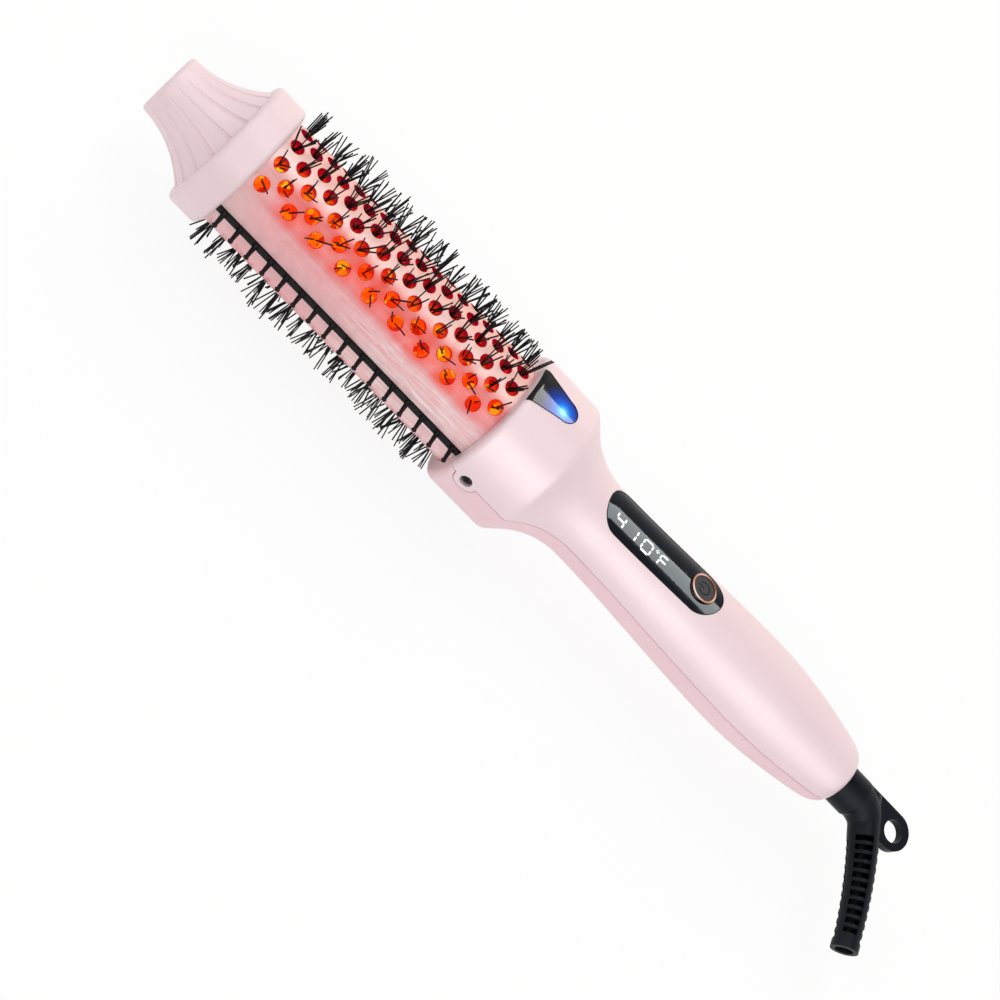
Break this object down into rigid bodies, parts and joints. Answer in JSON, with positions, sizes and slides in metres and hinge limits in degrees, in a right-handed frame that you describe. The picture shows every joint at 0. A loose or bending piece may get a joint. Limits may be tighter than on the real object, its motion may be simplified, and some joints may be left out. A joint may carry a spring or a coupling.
{
  "type": "heated hair styling brush",
  "caption": "Round heated hair brush with a perforated barrel, bristle tufts, side combs, a cool tip, a handle with display and push button, and a swivelling cord boot",
  "frame": {"origin": "centre of the flat end of the tip cap, on the axis of the brush", "axes": "+X runs along the axis from the tip to the cord end, +Z points out of the display side, and the combs stand along -Y and +Y"},
  "size_m": [0.3247, 0.0668, 0.056],
  "materials": {
    "pink_plastic": "satin moulded plastic",
    "pink_coat": "fine brushed coat on aluminium",
    "glow_plastic": "clear red, lit from inside",
    "black_nylon": "nylon",
    "aluminium": "as extruded",
    "ceramic": "fired",
    "insulator": "heat-resistant moulding",
    "board": "printed board",
    "module_black": "moulded case",
    "steel": "plain",
    "black_steel": "blackened",
    "smoked_lens": "polished",
    "blue_lamp": "clear blue",
    "rose_metal": "polished rose metal",
    "button_grey": "fine satin",
    "brass": "plain",
    "black_rubber": "matt",
    "lead_cover": "silicone"
  },
  "bodies": {
    "brush": {"tip_cap": "pink_plastic", "tip_plug": "insulator", "barrel_front": "pink_coat", "barrel_back": "pink_coat", "bristle_carrier_front": "glow_plastic", "bristle_carrier_back": "glow_plastic", "bristle_tufts_front": "black_nylon", "bristle_tufts_back": "black_nylon", "comb_right": "black_nylon", "comb_left": "black_nylon", "heat_spreader_right": "aluminium", "heat_spreader_left": "aluminium", "ceramic_heater": "ceramic", "thermistor": "ceramic", "thermal_fuse": "ceramic", "glow_strip_front": "board", "glow_strip_back": "board", "barrel_socket": "insulator", "tie_screws": "steel", "front_shell": "pink_plastic", "back_shell": "pink_plastic", "collar_screws": "black_steel", "ion_window": "smoked_lens", "ion_lamp": "blue_lamp", "ion_emitter": "steel", "ion_generator": "module_black", "display_lens": "smoked_lens", "display_module": "module_black", "control_board": "board", "button_ring": "rose_metal", "tact_switch": "module_black", "contact_blades": "brass", "terminal_block": "insulator", "heater_leads": "lead_cover", "power_leads": "lead_cover"},
    "button": {"power_button": "button_grey", "switch_plunger": "module_black"},
    "cord_swivel": {"swivel_hub": "insulator", "slip_rings": "brass", "cord_boot": "black_rubber", "cord_sleeve": "black_rubber"}
  },
  "joints": [
    {"name": "button_press", "type": "slide", "parent": "brush", "child": "button", "axis": [0, 0, -1], "range_m": [0, 0.0005], "stiffness_N_per_m": 900, "springref_m": -0.0004},
    {"name": "cord_turn", "type": "hinge", "parent": "brush", "child": "cord_swivel", "pos_m": [0.2883, 0, 0], "axis": [1, 0, 0], "continuous": true}
  ]
}
